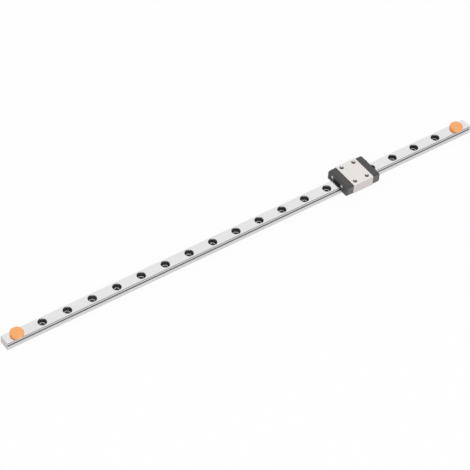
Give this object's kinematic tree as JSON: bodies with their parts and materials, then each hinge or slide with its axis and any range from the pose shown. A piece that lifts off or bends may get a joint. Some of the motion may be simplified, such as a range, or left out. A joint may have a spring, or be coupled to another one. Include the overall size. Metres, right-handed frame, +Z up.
{
  "type": "linear guide rail",
  "caption": "Miniature profiled steel linear guide rail with counterbored bolt holes, a short ball carriage with black end caps sliding on it, and orange rubber end stop plugs.",
  "frame": {"origin": "middle of the rail's base", "axes": "+X along the rail, towards the end that the carriage rests near; +Y across it; +Z up, out of the bolt holes"},
  "size_m": [0.3, 0.017, 0.008],
  "materials": {
    "rail_steel": "ground",
    "block_steel": "fine ground",
    "cap_plastic": "moulded matte",
    "seal_rubber": "moulded matte",
    "plug_rubber": "satin",
    "screw_steel": "plated",
    "ball_steel": "polished"
  },
  "bodies": {
    "rail": {"rail": "rail_steel", "end_plug_left": "plug_rubber", "end_plug_right": "plug_rubber"},
    "carriage": {"carriage_block": "block_steel", "end_cap_left": "cap_plastic", "end_cap_right": "cap_plastic", "end_seal_left": "seal_rubber", "end_seal_right": "seal_rubber", "cap_screw_left_front": "screw_steel", "cap_screw_left_back": "screw_steel", "cap_screw_right_front": "screw_steel", "cap_screw_right_back": "screw_steel", "ball_row_front": "ball_steel", "ball_row_back": "ball_steel"}
  },
  "joints": [
    {"name": "carriage_slide", "type": "slide", "parent": "rail", "child": "carriage", "axis": [1, 0, 0], "range_m": [-0.19805, 0.05645]}
  ]
}
